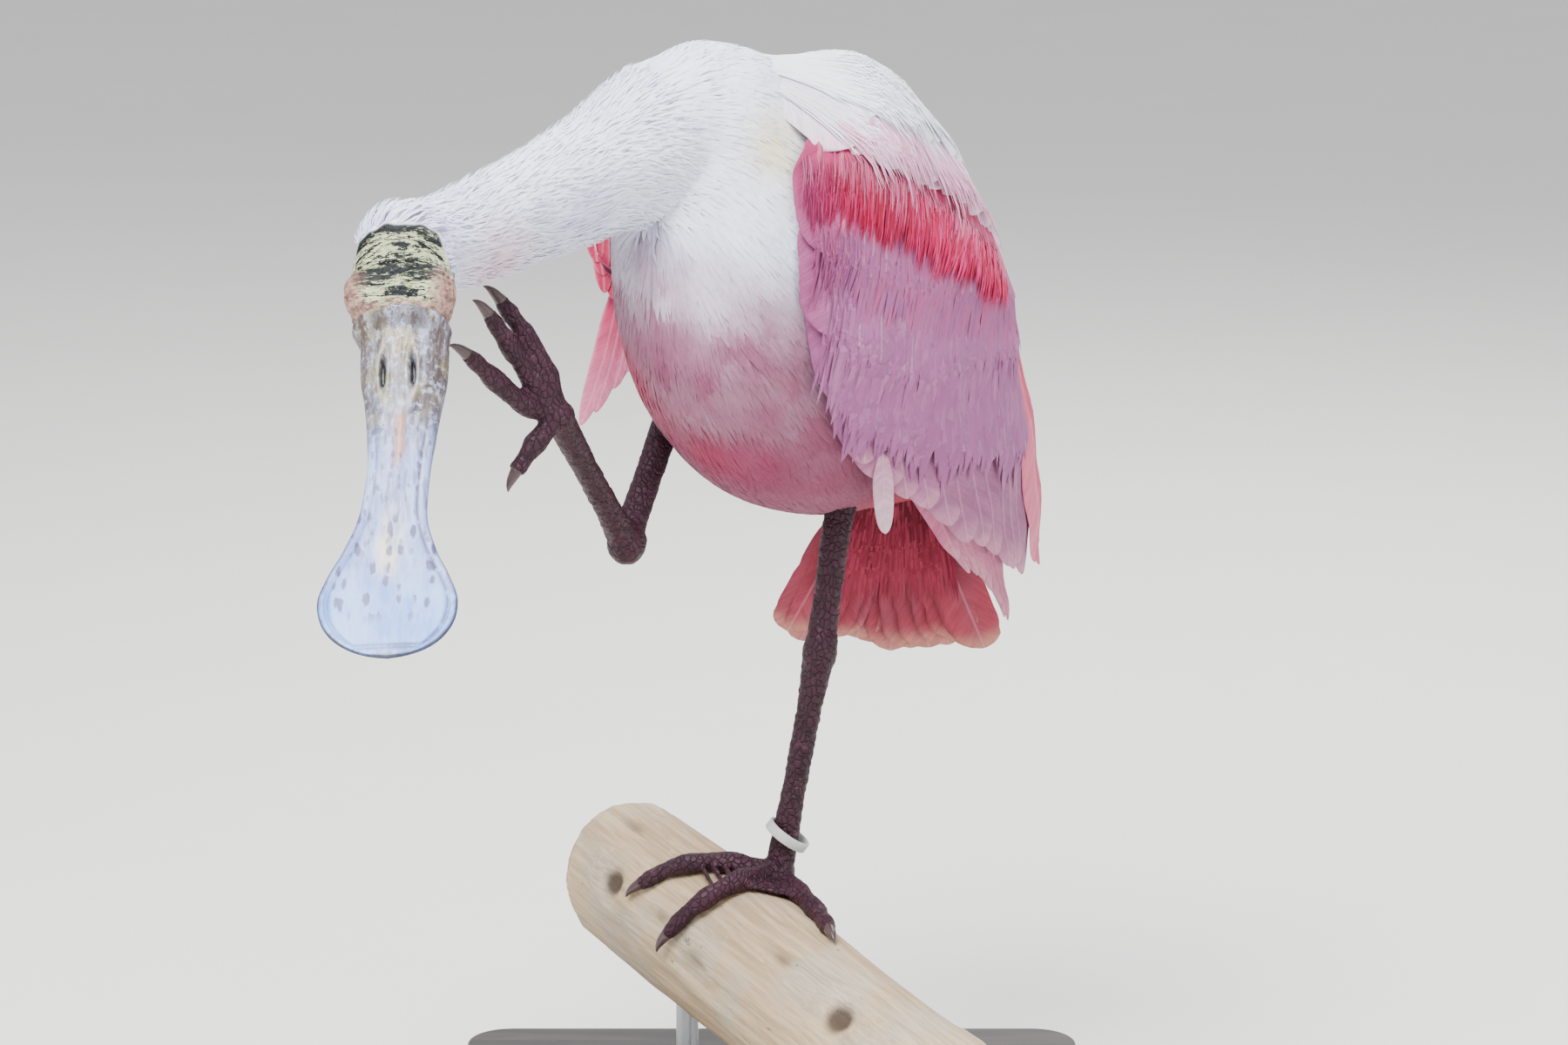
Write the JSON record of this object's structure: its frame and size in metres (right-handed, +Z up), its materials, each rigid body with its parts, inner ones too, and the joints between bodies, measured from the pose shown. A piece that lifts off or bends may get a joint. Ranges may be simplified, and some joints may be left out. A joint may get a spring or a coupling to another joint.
{
  "type": "roseate spoonbill model",
  "caption": "Life-size still model of a spoon-billed pink wading bird, standing on one leg on a cut log with its head lowered and a foot raised to its cheek.",
  "frame": {"origin": "middle of the base board's underside", "axes": "+Z up, -Y towards the viewer, +X to the viewer's right"},
  "size_m": [0.3112, 0.4324, 0.4949],
  "materials": {
    "plumage_white": "soft white body feathers flushed with pink on the belly",
    "plumage_pink": "smooth pink wing feathers with a carmine band",
    "plumage_tail": "orange-pink tail feathers under dark red coverts",
    "bare_head_skin": "bare creased greenish-yellow skin with dark streaks",
    "bill_horn": "matt greyish-white horn with darker mottling",
    "eye": "wet gloss red eye",
    "leg_skin": "scaly dark purplish-maroon skin",
    "claw": "dull dark horn",
    "leg_ring": "plain dull light-grey band",
    "log_wood": "barkless weathered log",
    "base_wood": "dark satin board",
    "stand_steel": "brushed rod with a small flange"
  },
  "bodies": {
    "root": {"torso": "plumage_white", "neck_lower": "plumage_white", "neck_upper": "plumage_white", "head": "bare_head_skin", "upper_bill": "bill_horn", "lower_bill": "bill_horn", "eye_left": "eye", "eye_right": "eye", "wing_left": "plumage_pink", "wing_right": "plumage_pink", "tail": "plumage_tail", "tibia_left": "leg_skin", "tarsus_left": "leg_skin", "foot_left": "leg_skin", "claw_left_hind": "claw", "claw_left_inner": "claw", "claw_left_middle": "claw", "claw_left_outer": "claw", "tibia_right": "leg_skin", "tarsus_right": "leg_skin", "foot_right": "leg_skin", "claw_right_hind": "claw", "claw_right_inner": "claw", "claw_right_middle": "claw", "claw_right_outer": "claw", "leg_ring": "leg_ring", "perch": "log_wood", "stand_base": "base_wood", "stand_rod_back": "stand_steel", "stand_rod_front": "stand_steel"}
  },
  "joints": []
}
